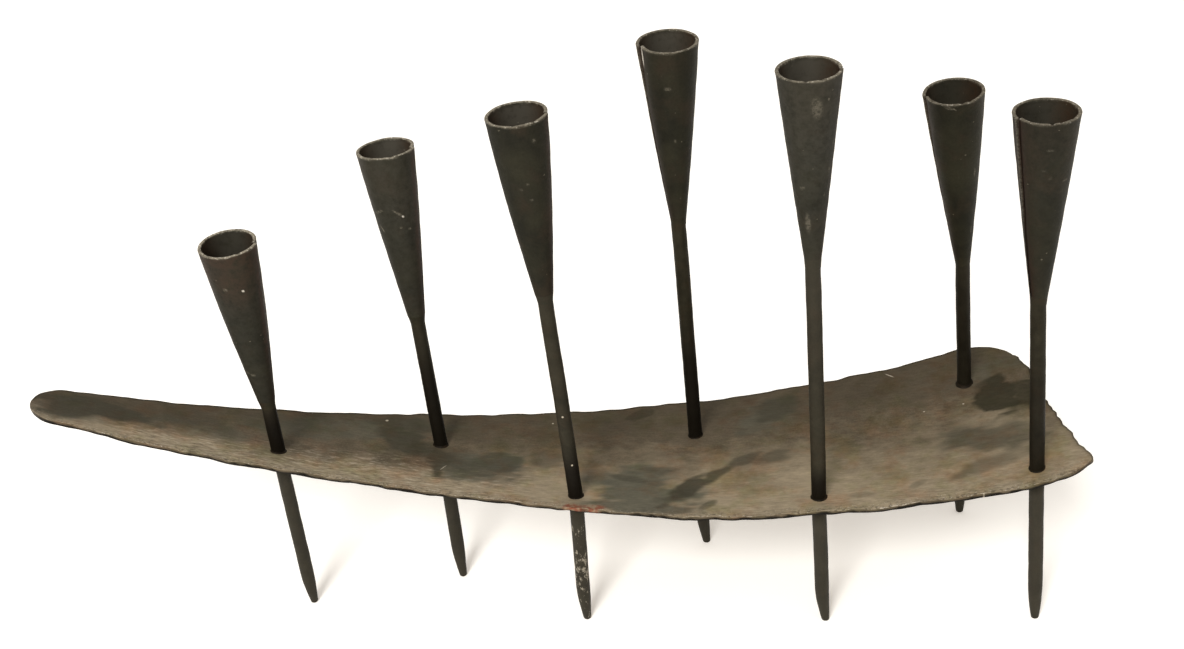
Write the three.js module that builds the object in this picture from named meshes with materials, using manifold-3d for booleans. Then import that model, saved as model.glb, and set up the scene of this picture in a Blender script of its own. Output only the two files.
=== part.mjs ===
// Seven-light candelabra in blackened wrought iron. A long hammered plate, bowed and dished,
// stands on seven round bars that pass through it. Each bar is ground to a blunt foot below
// and carries a slender candle cup, rolled from sheet with an open seam, above.
// Millimetres, +Z up, the floor at z = 0, the lights in a row along X from the narrow tip.

import * as THREE from 'three';
import { mergeVertices } from 'three/addons/utils/BufferGeometryUtils.js';
import Module from 'manifold-3d';

// Driving dimensions

const OVERALL_HEIGHT = 317.5; // from the floor to the mouth of the tallest light
const GAP = 0.3; // left between neighbours that weld metal joins

// Plate
const SHEET = 2;
const PLATE_LENGTH = 533; // from the narrow, round tip to the broad end
const TIP_MIDDLE = 37.2; // how far behind the middle line the tip lies
const TIP_WIDTH = 32;
const TIP_ROUNDING = 15;
const TIP_FLARE = 1; // the sides stand this much outside the tip's own width
const END_REAR_MARGIN = 30.8; // from the sixth hole to the rear side at the broad end
const END_FRONT_MARGIN = 15; // from the seventh hole to the front side there
const END_SLANT = 6.5; // the broad end's rear corner lies this much short of its front corner
const END_BEND = 0.57; // share of the broad end's width at which it turns to the front corner
const REAR_CORNER = 36; // reach of the broad end's corner roundings along the end
const FRONT_CORNER = 14.5;
const FRONT_CORNER_RUN = 34; // reach of the front one along the front side
const CORNER_PULL = 0.4; // share of its reach at which each corner's curve is held
const CORNER_LAP = 1.5; // the sides run this much inside the broad end's own width
const REAR_BULGE = [[0.25, 8.2], [0.46, 8.3], [0.69, 3.5], [0.885, -1.3]]; // share of the length, bulge
const FRONT_BULGE = [[0.8, 9], [0.65, 10.5], [0.54, 5.3], [0.42, -0.5], [0.27, -3.2]];
const LOW_X = 86; // lowest place along the plate
const LOW_SHARE = 0.2425; // height of the top face there, as a share of the overall height
const BOW_RADIUS = 810; // of the plate's length, sprung up towards both ends
const DISH = 1 / 12; // rise of the long sides, for each millimetre of half width
const TILT = -0.054; // slope from front to rear at the lowest place
const TWIST = 0.00032; // change of that slope for each millimetre along

const DRILL_LENGTH = 16;

// Bars and their feet
const BAR_DIAMETER = 7;
const FOOT_TIP_DIAMETER = 4;
const FOOT_TAPER = 24; // height of the ground taper
const FOOT_EDGE = 0.7; // rounding of the foot's tip

// Candle cups
const CUP_LENGTH = 93;
const CUP_BORE = 25.8; // across the mouth, inside
const RIM_WALL = 1.7;
const NECK_WALL = 0.45; // the sheet is dressed thin where it meets the bar
const CUP_SWELL = 0.5; // outward bulge of the cone's sides, half way up
const SOCKET_DEPTH = 15; // the bar's end inside the cup

// Weld metal
const LOWER_WELD = 2.6; // legs of the fillet under the plate
const WELD_CROWN = 0.57; // share of both legs that a fillet's crown reaches
const NECK_BRAZE = 5; // length of the tapered braze below the cup
const BRAZE_TOE = 0.2; // its thickness at the lower end

// One row for each light. Its hole lies at a share of the plate's length and at y. The plan
// places of the foot's tip, the cup's neck and the middle of its mouth are measured from the
// hole, and the mouth's height is a share of the overall height. The cup's seam lies `turn`
// degrees from +X and is open by `slit`, and at the mouth one edge stands proud by `step`. Then
// come the fillet on the plate and how far the foot was ground off the axis.
const LIGHTS = [
  { share: 0.2308, y: 22.5, foot: [-1.7, 1.1], neck: [0.8, -0.2], mouth: [1.2, 0.1],
    height: 0.7376, seam: { turn: 350, slit: 0.6, step: 0.5 }, upperWeld: 0.7, grind: 0.6 },
  { share: 0.3876, y: 37.7, foot: [-0.3, -6.9], neck: [-0.9, 7.2], mouth: [-1.7, 15.2],
    height: 0.8208, seam: { turn: 346, slit: 0.6, step: 0.5 }, upperWeld: 0.7, grind: 0.6 },
  { share: 0.5204, y: -15.2, foot: [-2.6, -1], neck: [-2.3, 2.8], mouth: [-3.9, 5.9],
    height: 0.943, seam: { turn: 346, slit: 0.5, step: 0.3 }, upperWeld: 0.7, grind: 1 },
  { share: 0.6474, y: 33.1, foot: [1.7, 1.9], neck: [0, -2.4], mouth: [1.6, -3.3],
    height: 0.9739, seam: { turn: 190, slit: 0.8, step: 0.8 }, upperWeld: 0.7, grind: 1 },
  { share: 0.75, y: -39, foot: [1.6, 0], neck: [0.5, 1.2], mouth: [1.3, 2.4],
    height: 1, seam: { turn: 347, slit: 0.5, step: 0.3 }, upperWeld: 0.9, grind: 1.4 },
  { share: 0.923, y: 31.2, foot: [0.7, 3.9], neck: [-4, -2.7], mouth: [-10.9, -4.9],
    height: 0.8435, seam: { turn: 178, slit: 0.8, step: 0.6 }, upperWeld: 1.4, grind: 0 },
  { share: 0.95, y: -51.6, foot: [2.5, -4.1], neck: [-3, 4.5], mouth: [-3.7, 6],
    height: 0.9065, seam: { turn: 194, slit: 1.1, step: 0.7 }, upperWeld: 0.7, grind: 0 },
];

// Facets
const BAR_SIDES = 16;
const CUP_SIDES = 32;
const CUP_RINGS = 5;
const HOLE_SIDES = 24;
const GRID_STEP = 10; // of the plate's curved faces
const EDGE_STEPS = 10; // points on each curve of the plate's outline

// Sizes worked out from those

const BAR_RADIUS = BAR_DIAMETER / 2;
const SEAT_RADIUS = BAR_RADIUS + GAP; // inside of everything that goes round a bar
const LOW_Z = OVERALL_HEIGHT * LOW_SHARE;
const UP = new THREE.Vector3(0, 0, 1);
const TIP = {
  x: -PLATE_LENGTH / 2,
  rear: TIP_MIDDLE + TIP_WIDTH / 2,
  front: TIP_MIDDLE - TIP_WIDTH / 2,
};
const END = {
  x: PLATE_LENGTH / 2,
  rear: LIGHTS.at(-2).y + END_REAR_MARGIN,
  front: LIGHTS.at(-1).y - END_FRONT_MARGIN,
};
const { lerp, degToRad } = THREE.MathUtils;

// Materials

const plateIron = new THREE.MeshStandardMaterial({ color: 0x66594a, roughness: 0.72, metalness: 0.6 });
const barIron = new THREE.MeshStandardMaterial({ color: 0x2e2a22, roughness: 0.62, metalness: 0.7 });
const cupIron = new THREE.MeshStandardMaterial({ color: 0x38342c, roughness: 0.66, metalness: 0.7 });
const weldIron = new THREE.MeshStandardMaterial({ color: 0x28241d, roughness: 0.7, metalness: 0.7 });

// Meshes from rings and solids

// Skin over a row of rings that all have the same number of points, turning anticlockwise
// seen from the row's far end. With an end outline both ends are capped, and without one the
// last ring joins the first.
function loft(rings, endOutline) {
  const sides = rings[0].length;
  const spans = endOutline ? rings.length - 1 : rings.length;
  const triangles = [];
  for (let i = 0; i < spans; i++) {
    const near = i * sides;
    const far = ((i + 1) % rings.length) * sides;
    for (let j = 0; j < sides; j++) {
      const next = (j + 1) % sides;
      triangles.push(near + j, near + next, far + next);
      triangles.push(near + j, far + next, far + j);
    }
  }
  if (endOutline) {
    const last = (rings.length - 1) * sides;
    for (const [a, b, c] of THREE.ShapeUtils.triangulateShape(endOutline, [])) {
      triangles.push(c, b, a);
      triangles.push(last + a, last + b, last + c);
    }
  }
  const geometry = new THREE.BufferGeometry().setFromPoints(rings.flat());
  geometry.setIndex(triangles);
  geometry.computeVertexNormals();
  return geometry;
}

const wasm = await Module();
wasm.setup();

function toSolid(geometry) {
  const bare = geometry.clone();
  bare.deleteAttribute('normal');
  bare.deleteAttribute('uv');
  const merged = mergeVertices(bare);
  return new wasm.Manifold(new wasm.Mesh({
    numProp: 3,
    vertProperties: new Float32Array(merged.attributes.position.array),
    triVerts: new Uint32Array(merged.index.array),
  }));
}

function fromSolid(solid) {
  const mesh = solid.getMesh();
  const geometry = new THREE.BufferGeometry();
  geometry.setAttribute('position', new THREE.BufferAttribute(mesh.vertProperties, 3));
  geometry.setIndex(new THREE.BufferAttribute(mesh.triVerts, 1));
  geometry.computeVertexNormals();
  return geometry;
}

function named(name, geometry, material) {
  const mesh = new THREE.Mesh(geometry, material);
  mesh.name = name;
  return mesh;
}

// Plate

// Straight front and rear sides between the two ends, which the real sides bulge from.
function chords(share) {
  return { rear: lerp(TIP.rear, END.rear, share), front: lerp(TIP.front, END.front, share) };
}

// Height of the top face: a bow along X, a slope across that changes along the plate, and a
// dish that lifts both long sides.
function plateTop(x, y) {
  const { rear, front } = chords((x - TIP.x) / (END.x - TIP.x));
  const half = (rear - front) / 2;
  const across = (y - (rear + front) / 2) / half;
  const along = x - LOW_X;
  const bow = along * along / (2 * BOW_RADIUS);
  return LOW_Z + bow + (TILT + TWIST * along) * y + DISH * half * across * across;
}

function plateNormal(x, y) {
  const slopeX = (plateTop(x + 1, y) - plateTop(x - 1, y)) / 2;
  const slopeY = (plateTop(x, y + 1) - plateTop(x, y - 1)) / 2;
  return new THREE.Vector3(-slopeX, -slopeY, 1).normalize();
}

// Height of the underside, one sheet below the top face square to it.
function plateUnderside(x, y) {
  return plateTop(x, y) - SHEET / plateNormal(x, y).z;
}

// Plan of the plate: a long leaf with a round tip, bulging long sides that spread towards the
// broad end, and an end cut nearly square with two rounded corners.
function plateOutline() {
  const along = (share) => lerp(TIP.x, END.x, share);
  const rearSide = REAR_BULGE.map(([share, bulge]) => (
    new THREE.Vector2(along(share), chords(share).rear + bulge)));
  const frontSide = FRONT_BULGE.map(([share, bulge]) => (
    new THREE.Vector2(along(share), chords(share).front - bulge)));
  const endRear = END.x - END_SLANT;
  const rearLine = END.rear - CORNER_LAP;
  const frontLine = END.front + CORNER_LAP;
  const tipSide = TIP.x + TIP_ROUNDING;
  const tipNose = TIP.x - CORNER_PULL * TIP_ROUNDING;
  const tipRear = new THREE.Vector2(tipSide, TIP.rear + TIP_FLARE);
  const tipFront = new THREE.Vector2(tipSide, TIP.front - TIP_FLARE);
  const rearEnd = new THREE.Vector2(endRear - REAR_CORNER, rearLine);
  const outline = new THREE.Shape();
  outline.moveTo(tipRear.x, tipRear.y);
  outline.splineThru([...rearSide, rearEnd]);
  outline.bezierCurveTo(
    endRear - CORNER_PULL * REAR_CORNER, rearLine,
    endRear, END.rear - CORNER_PULL * REAR_CORNER,
    endRear, END.rear - REAR_CORNER);
  outline.quadraticCurveTo(
    endRear, lerp(END.rear, END.front, END_BEND),
    END.x, END.front + FRONT_CORNER);
  outline.bezierCurveTo(
    END.x, END.front + CORNER_PULL * FRONT_CORNER,
    END.x - CORNER_PULL * FRONT_CORNER_RUN, frontLine,
    END.x - FRONT_CORNER_RUN, frontLine);
  outline.splineThru([...frontSide, tipFront]);
  outline.bezierCurveTo(tipNose, TIP.front, tipNose, TIP.rear, tipRear.x, tipRear.y);
  return outline;
}

// The sheet is raised to its curve as a blank, trimmed to its outline and drilled for the bars.
function plateGeometry(lights) {
  const outline = new THREE.ExtrudeGeometry(plateOutline(), {
    depth: 2 * plateTop(TIP.x, TIP.front),
    bevelEnabled: false,
    curveSegments: EDGE_STEPS,
  });
  outline.computeBoundingBox();
  const { min, max } = outline.boundingBox;
  const columns = Math.ceil((max.x - min.x) / GRID_STEP) + 2;
  const rows = Math.ceil((max.y - min.y) / GRID_STEP) + 2;
  const rings = [];
  for (let i = 0; i <= columns; i++) {
    const x = min.x + (i - 1) * GRID_STEP;
    const ring = [];
    for (let j = 0; j <= rows; j++) {
      const y = min.y + (j - 1) * GRID_STEP;
      ring.push(new THREE.Vector3(x, y, plateTop(x, y)));
    }
    for (let j = rows; j >= 0; j--) {
      const y = min.y + (j - 1) * GRID_STEP;
      ring.push(new THREE.Vector3(x, y, plateUnderside(x, y)));
    }
    rings.push(ring.reverse());
  }
  const endOutline = rings[0].map((point) => new THREE.Vector2(point.y, point.z));
  let solid = toSolid(loft(rings, endOutline)).intersect(toSolid(outline));
  for (const light of lights) {
    const drill = new THREE.CylinderGeometry(SEAT_RADIUS, SEAT_RADIUS, DRILL_LENGTH, HOLE_SIDES);
    drill.rotateX(Math.PI / 2);
    drill.applyQuaternion(new THREE.Quaternion().setFromUnitVectors(UP, light.holeAxis));
    drill.translate(light.hole.x, light.hole.y, light.hole.z);
    solid = solid.subtract(toSolid(drill));
  }
  return fromSolid(solid);
}

// Bars

// Points of each bar's axis and the directions of its three stretches: the leg below the
// plate, the shaft up to the braze, and the end along the cup's own axis.
function layOut({ share, y, foot, neck, mouth, height, seam, upperWeld, grind }) {
  const x = lerp(TIP.x, END.x, share);
  const holePoint = new THREE.Vector3(x, y, (plateTop(x, y) + plateUnderside(x, y)) / 2);
  const footPoint = new THREE.Vector3(x + foot[0] - grind, y + foot[1], 0);
  const lean = new THREE.Vector2(mouth[0] - neck[0], mouth[1] - neck[1]);
  const rise = Math.sqrt(CUP_LENGTH * CUP_LENGTH - lean.lengthSq());
  const mouthPoint = new THREE.Vector3(x + mouth[0], y + mouth[1], OVERALL_HEIGHT * height);
  const neckPoint = new THREE.Vector3(x + neck[0], y + neck[1], mouthPoint.z - rise);
  const cupAxis = mouthPoint.clone().sub(neckPoint).normalize();
  const bend = neckPoint.clone().addScaledVector(cupAxis, -NECK_BRAZE - 2 * GAP);
  const legAxis = holePoint.clone().sub(footPoint).normalize();
  const shaftAxis = bend.clone().sub(holePoint).normalize();
  const holeAxis = legAxis.clone().add(shaftAxis).normalize();
  const bendAxis = shaftAxis.clone().add(cupAxis).normalize();
  return { foot: footPoint, hole: holePoint, bend, neck: neckPoint, legAxis, holeAxis, shaftAxis,
    bendAxis, cupAxis, seam, upperWeld, grind };
}

function circle(centre, axis, radius, sides) {
  const u = new THREE.Vector3(1, 0, 0).addScaledVector(axis, -axis.x).normalize();
  const v = axis.clone().cross(u);
  return Array.from({ length: sides }, (_, i) => {
    const angle = 2 * Math.PI * i / sides;
    return centre.clone()
      .addScaledVector(u, radius * Math.cos(angle))
      .addScaledVector(v, radius * Math.sin(angle));
  });
}

// Foot from a flat tip through a rounded taper to the full bar, then the bar through the
// plate and up to its chamfered end inside the cup.
function stemGeometry(light) {
  const tipRadius = FOOT_TIP_DIAMETER / 2;
  const swell = (height) => Math.sin(Math.PI / 2 * height / FOOT_TAPER);
  const tipAt = (height) => {
    const centre = light.foot.clone().addScaledVector(light.legAxis, height / light.legAxis.z);
    return centre.setX(centre.x + light.grind * (1 - swell(height)));
  };
  const rings = [];
  rings.push(circle(tipAt(0), UP, tipRadius - FOOT_EDGE, BAR_SIDES));
  for (const height of [FOOT_EDGE, FOOT_TAPER / 4, FOOT_TAPER / 2, FOOT_TAPER]) {
    const radius = lerp(tipRadius, BAR_RADIUS, swell(height));
    rings.push(circle(tipAt(height), UP, radius, BAR_SIDES));
  }
  rings.push(circle(light.hole, light.holeAxis, BAR_RADIUS, BAR_SIDES));
  rings.push(circle(light.bend, light.bendAxis, BAR_RADIUS, BAR_SIDES));
  const end = light.neck.clone().addScaledVector(light.cupAxis, SOCKET_DEPTH);
  const shoulder = end.clone().addScaledVector(light.cupAxis, -FOOT_EDGE);
  rings.push(circle(shoulder, light.cupAxis, BAR_RADIUS, BAR_SIDES));
  rings.push(circle(end, light.cupAxis, BAR_RADIUS - FOOT_EDGE, BAR_SIDES));
  const endOutline = circle(new THREE.Vector3(), UP, BAR_RADIUS, BAR_SIDES);
  return loft(rings, endOutline.map((point) => new THREE.Vector2(point.x, point.y)));
}

// Candle cups

// Cone rolled from sheet about +Z with its neck at z = 0. The section is the sheet's inside
// and outside from neck to mouth, carried round from one edge of the open seam to the other.
function cupGeometry(seam) {
  const mouthRadius = CUP_BORE / 2 + RIM_WALL;
  const neckRadius = SEAT_RADIUS + NECK_WALL;
  const shares = Array.from({ length: CUP_RINGS }, (_, i) => i / (CUP_RINGS - 1));
  const outside = (share) => lerp(neckRadius, mouthRadius, share)
    + 4 * CUP_SWELL * share * (1 - share);
  const wall = (share) => lerp(NECK_WALL, RIM_WALL, share);
  const section = [
    ...shares.map((share) => ({ share, radius: outside(share) - wall(share) })),
    ...shares.map((share) => ({ share, radius: outside(share) })).reverse(),
  ];
  const rings = Array.from({ length: CUP_SIDES + 1 }, (_, i) => {
    const turn = i / CUP_SIDES;
    return section.map(({ share, radius }) => {
      const slit = Math.asin(seam.slit / 2 / radius);
      const angle = degToRad(seam.turn) + slit + turn * 2 * (Math.PI - slit);
      const stepped = radius + seam.step * share * (turn - 0.5);
      return new THREE.Vector3(stepped * Math.cos(angle), stepped * Math.sin(angle), share * CUP_LENGTH);
    });
  });
  return loft(rings, section.map(({ share, radius }) => new THREE.Vector2(share * CUP_LENGTH, radius)));
}

// Weld metal

// Braze below a cup's neck, in the cup's frame: a ring that tapers the step between cup and bar.
function brazeGeometry() {
  const top = -GAP;
  const bottom = -GAP - NECK_BRAZE;
  const section = [[bottom, SEAT_RADIUS], [top, SEAT_RADIUS], [top, SEAT_RADIUS + NECK_WALL],
    [bottom, SEAT_RADIUS + BRAZE_TOE]];
  const rings = Array.from({ length: BAR_SIDES }, (_, i) => {
    const angle = 2 * Math.PI * i / BAR_SIDES;
    return section.map(([z, radius]) => (
      new THREE.Vector3(radius * Math.cos(angle), radius * Math.sin(angle), z)));
  });
  return loft(rings);
}

// Fillet round a bar where it meets the plate: on the face whose height is given by `face`,
// on the side of the sign, round the bar's stretch along `axis`.
function filletGeometry(light, axis, face, side, leg) {
  const rings = Array.from({ length: BAR_SIDES }, (_, i) => {
    const angle = side * 2 * Math.PI * i / BAR_SIDES;
    const at = (reach, rise) => {
      const outward = new THREE.Vector3(Math.cos(angle), Math.sin(angle), 0);
      const onFace = light.hole.clone().addScaledVector(outward, SEAT_RADIUS + reach);
      const z = face(onFace.x, onFace.y) + side * (GAP + rise);
      return onFace.addScaledVector(axis, (z - light.hole.z) / axis.z).setZ(z);
    };
    return [at(0, leg), at(0, 0), at(leg, 0), at(WELD_CROWN * leg, WELD_CROWN * leg)].reverse();
  });
  return loft(rings);
}

// Assembly

const candelabra = new THREE.Group();
const lights = LIGHTS.map(layOut);
candelabra.add(named('plate', plateGeometry(lights), plateIron));
lights.forEach((light, i) => {
  const number = i + 1;
  const cup = new THREE.Group();
  cup.position.copy(light.neck);
  cup.quaternion.setFromUnitVectors(UP, light.cupAxis);
  cup.add(named(`cup_${number}`, cupGeometry(light.seam), cupIron));
  cup.add(named(`neck_braze_${number}`, brazeGeometry(), weldIron));
  const upperWeld = filletGeometry(light, light.shaftAxis, plateTop, 1, light.upperWeld);
  const lowerWeld = filletGeometry(light, light.legAxis, plateUnderside, -1, LOWER_WELD);
  candelabra.add(
    named(`stem_${number}`, stemGeometry(light), barIron),
    cup,
    named(`upper_weld_${number}`, upperWeld, weldIron),
    named(`lower_weld_${number}`, lowerWeld, weldIron),
  );
});

export default candelabra;
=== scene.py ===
import math

import bpy
import numpy as np
from mathutils import Matrix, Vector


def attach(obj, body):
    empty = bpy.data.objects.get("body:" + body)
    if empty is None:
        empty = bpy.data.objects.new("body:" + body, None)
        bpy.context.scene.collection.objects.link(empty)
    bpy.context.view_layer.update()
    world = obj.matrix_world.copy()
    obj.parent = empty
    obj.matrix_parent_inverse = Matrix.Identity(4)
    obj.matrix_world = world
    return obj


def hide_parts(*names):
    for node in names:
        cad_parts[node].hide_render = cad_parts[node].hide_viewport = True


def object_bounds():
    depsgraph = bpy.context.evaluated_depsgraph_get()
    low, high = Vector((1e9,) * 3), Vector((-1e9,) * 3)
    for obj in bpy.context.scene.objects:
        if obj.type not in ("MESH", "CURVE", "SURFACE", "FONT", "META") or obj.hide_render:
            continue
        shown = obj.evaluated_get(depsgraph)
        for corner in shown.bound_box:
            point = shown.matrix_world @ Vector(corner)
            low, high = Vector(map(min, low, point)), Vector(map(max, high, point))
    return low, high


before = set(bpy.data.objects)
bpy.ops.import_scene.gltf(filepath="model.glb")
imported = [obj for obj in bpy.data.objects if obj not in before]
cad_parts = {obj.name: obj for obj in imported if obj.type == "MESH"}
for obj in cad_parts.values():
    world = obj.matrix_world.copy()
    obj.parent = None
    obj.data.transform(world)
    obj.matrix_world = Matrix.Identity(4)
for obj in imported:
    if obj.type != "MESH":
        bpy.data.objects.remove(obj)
cad_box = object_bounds()


# PLATE
# One long leaf of 2 mm sheet iron, cut out by hand, hammered all over and sprung into a bow with
# both long sides raised. Seven holes are drilled through it, one for each bar. All sizes are in
# millimetres.

MM = 0.001
SHEET = 2.0
TIP_X, TIP_REAR, TIP_FRONT = -266.5, 53.2, 21.2
END_X, END_REAR, END_FRONT = 266.5, 62.0, -66.6
LOW_X, LOW_Z = 86.0, 76.99
BOW_RADIUS, SIDE_LIFT, DISH, TILT, TWIST = 810.0, 1 / 12, 1 / 34, -0.054, 0.00032
REAR_SIDE = [(-251.5, 55.4), (-133.25, 65.3), (-21.32, 66.9), (101.27, 63.7), (205.2, 60.3),
             (224, 60.5)]
REAR_CORNER = [(224, 60.5), (245.6, 60.5), (260, 47.6), (260, 26)]
BROAD_END = [(260, 26), (260, -11.3), (266.5, -52.1)]
FRONT_CORNER = [(266.5, -52.1), (266.5, -60.8), (252.9, -65.1), (232.5, -65.1)]
FRONT_SIDE = [(232.5, -65.1), (159.9, -56.6), (79.95, -46.1), (21.32, -31.5), (-42.64, -15.9),
              (-122.59, -0.7), (-251.5, 18.9)]
ROUND_TIP = [(-251.5, 18.9), (-272.5, 20.4), (-272.5, 54), (-251.5, 55.4)]
HOLE_RADIUS = 3.95
BOX_MARGIN = 0.05

# For each light: hole x, y; foot from the hole x, y; cup neck from the hole x, y; middle of the
# cup's mouth from the hole x, y; mouth height; the seam's direction in degrees, its slit and how
# far one edge stands proud of the other at the mouth; upper weld; foot grind.
LIGHTS = np.array([
    (-143.48, 22.5, -1.7, 1.1, 0.8, -0.2, 1.2, 0.1, 235.1, 350, 0.6, 0.5, 0.7, 0.6),
    (-59.91, 37.7, -0.3, -6.9, -0.9, 7.2, -1.7, 15.2, 261.4, 346, 0.6, 0.5, 0.7, 0.6),
    (10.87, -15.2, -2.6, -1.0, -2.3, 2.8, -3.9, 5.9, 300.1, 346, 0.5, 0.3, 0.7, 1.0),
    (78.56, 33.1, 1.7, 1.9, 0.0, -2.4, 1.6, -3.3, 309.6, 190, 0.8, 0.8, 0.7, 1.0),
    (133.25, -39.0, 1.6, 0.0, 0.5, 1.2, 1.3, 2.4, 317.50, 347, 0.5, 0.3, 0.9, 1.4),
    (225.46, 31.2, 0.7, 3.9, -4.0, -2.7, -10.9, -4.9, 268.3, 178, 0.8, 0.6, 1.4, 0.0),
    (239.85, -51.6, 2.5, -4.1, -3.0, 4.5, -3.7, 6.0, 288.4, 194, 1.1, 0.7, 0.7, 0.0),
])
holes, foot_steps, neck_steps, mouth_steps = (LIGHTS[:, k:k + 2] for k in (0, 2, 4, 6))
mouth_heights, seam_turns, slits, prouds, weld_legs, grinds = LIGHTS[:, 8:].T

LATTICE, JITTER = 64, 0.38


def ease(t):
    """Smooth step: 0 below 0, 1 above 1, and 3t^2 - 2t^3 between."""
    t = np.clip(t, 0, 1)
    return t * t * (3 - 2 * t)


def clouds(a, b, size, seed):
    """Soft noise from -1 to 1: a seeded lattice of values `size` apart, eased between points."""
    lattice = np.random.default_rng(seed).uniform(-1, 1, (LATTICE, LATTICE))
    a, b = np.broadcast_arrays(np.asarray(a, float) / size, np.asarray(b, float) / size)
    i, j = np.floor(a).astype(int), np.floor(b).astype(int)
    s, t = ease(a - i), ease(b - j)
    i, j, past_i, past_j = (place % LATTICE for place in (i, j, i + 1, j + 1))
    near = lattice[i, j] * (1 - s) + lattice[past_i, j] * s
    far = lattice[i, past_j] * (1 - s) + lattice[past_i, past_j] * s
    return near * (1 - t) + far * t


def dints(a, b, size, seed):
    """Hammer blows on a jittered lattice: squared distance to the nearest blow, 0 at its middle
    and about 1 on the ridge towards the next."""
    jitter = np.random.default_rng(seed).uniform(-JITTER, JITTER, (LATTICE, LATTICE, 2))
    a, b = np.broadcast_arrays(np.asarray(a, float) / size, np.asarray(b, float) / size)
    around = np.mgrid[-1:2, -1:2].reshape((2, 9) + (1,) * a.ndim)
    i, j = np.floor(a).astype(int) + around[0], np.floor(b).astype(int) + around[1]
    blow = jitter[i % LATTICE, j % LATTICE]
    apart = (a - i - 0.5 - blow[..., 0]) ** 2 + (b - j - 0.5 - blow[..., 1]) ** 2
    return np.minimum(2 * apart.min(0), 1)


def plate_top(x, y):
    """A bow along X, a slope across that changes along the length, both long sides lifted in
    proportion to the width, and a shallow dish between them."""
    share = (x - TIP_X) / (END_X - TIP_X)
    rear = TIP_REAR + (END_REAR - TIP_REAR) * share
    front = TIP_FRONT + (END_FRONT - TIP_FRONT) * share
    half = (rear - front) / 2
    across = (y - (rear + front) / 2) / half
    slope = TILT + TWIST * (x - LOW_X)
    bow = (x - LOW_X) ** 2 / (2 * BOW_RADIUS)
    return LOW_Z + bow + slope * y + half * (SIDE_LIFT - DISH * (1 - across ** 2))


WAVE_DEPTH, BLOW_DEPTH, FINE_DEPTH = 0.32, 0.36, 0.13
WAVE_SIZE, BLOW_SIZE, FINE_SIZE = 31, 13, 5.5


def hammered(x, y):
    """What the hammer left on the sheet: broad waves, a lattice of shallow blows and a fine
    unevenness, each times its depth."""
    return (WAVE_DEPTH * clouds(x, y, WAVE_SIZE, 2) + BLOW_DEPTH * (dints(x, y, BLOW_SIZE, 1) - 0.5)
            + FINE_DEPTH * clouds(x, y, FINE_SIZE, 3))


def plate_face(x, y):
    """The sheet's form plus what the hammer left on it."""
    return plate_top(x, y) + hammered(x, y)


def plate_underside(x, y):
    """One sheet below the top face, square to it."""
    slope_x = (plate_top(x + 1, y) - plate_top(x - 1, y)) / 2
    slope_y = (plate_top(x, y + 1) - plate_top(x, y - 1)) / 2
    return plate_face(x, y) - SHEET * np.sqrt(1 + slope_x ** 2 + slope_y ** 2)


def bezier(points, t):
    """Point at t on the curve of any degree: neighbours are blended until one point is left."""
    points = np.asarray(points, float)[:, None, :] + 0 * t[None, :, None]
    while len(points) > 1:
        points = points[:-1] * (1 - t)[:, None] + points[1:] * t[:, None]
    return points[0]


def bent_through(points, steps):
    """Curve through all points: between two of them a cubic whose end slopes are half the step
    from the point before to the point after."""
    p = np.asarray(points, float)
    p = np.vstack([p[:1], p, p[-1:]])
    t = (np.arange(steps) / steps)[None, :, None]
    a, b, c, d = (p[k:len(p) - 3 + k, None] for k in range(4))
    m, n = (c - a) / 2, (d - b) / 2
    curve = (2 * b - 2 * c + m + n) * t ** 3 + (3 * c - 3 * b - 2 * m - n) * t ** 2 + m * t + b
    return np.vstack([curve.reshape(-1, p.shape[1]), p[-1:]])


def run_along(path):
    """Distance along a path to each of its points: the sum of the steps before it."""
    return np.concatenate([[0], np.cumsum(np.linalg.norm(np.diff(path, axis=0), axis=1))])


def evenly(path, count):
    """The same path with `count` points at equal distances along it."""
    run = run_along(path)
    at = np.linspace(0, run[-1], count)
    return np.stack([np.interp(at, run, path[:, k]) for k in range(path.shape[1])], axis=1)


MEAN_BITE, LONG_BITE, SHORT_BITE, BITE_START = 0.33, 0.45, 0.3, 12


def ragged(path, seed, depth, pitches):
    """A path whose points are moved to its left, into the sheet, by up to `depth` and to its right
    by a third of that: nibbles of a long and a short pitch, which fade towards both ends."""
    run = run_along(path)
    step = np.gradient(path, axis=0)
    inward = np.stack([-step[:, 1], step[:, 0]], axis=1) / np.linalg.norm(step, axis=1)[:, None]
    nibbles = (LONG_BITE * clouds(run, 0 * run, pitches[0], seed)
               + SHORT_BITE * clouds(run, 0 * run + 9, pitches[1], seed))
    ends = ease(run / BITE_START) * ease((run[-1] - run) / BITE_START)
    return path + inward * (depth * (MEAN_BITE + nibbles * ends))[:, None]


ALONG, ACROSS = 361, 91
CURVE_STEPS = 40
FRONT_BITE, END_BITE, REAR_BITE, TIP_BITE = 1.0, 2.1, 0.6, 0.7
SIDE_PITCHES, END_PITCHES = (13, 4.3), (6, 2.7)
half_curve = np.linspace(0, 0.5, CURVE_STEPS)
quarter = np.linspace(0, 0.25, CURVE_STEPS // 2)
front_run = np.vstack([bezier(ROUND_TIP, 0.25 - quarter)[:-1],
                       bent_through(FRONT_SIDE, CURVE_STEPS)[::-1],
                       bezier(FRONT_CORNER, 1 - half_curve)[1:]])
end_run = np.vstack([bezier(FRONT_CORNER, 0.5 - half_curve),
                     bezier(BROAD_END, 1 - 2 * half_curve)[1:],
                     bezier(REAR_CORNER, 1 - half_curve)[1:]])
rear_run = np.vstack([bezier(ROUND_TIP, 0.75 + quarter)[:-1], bent_through(REAR_SIDE, CURVE_STEPS),
                      bezier(REAR_CORNER, half_curve)[1:]])
tip_run = bezier(ROUND_TIP, np.linspace(0.25, 0.75, 2 * CURVE_STEPS))
front_edge = ragged(evenly(front_run, ALONG), 21, FRONT_BITE, SIDE_PITCHES)
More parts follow.
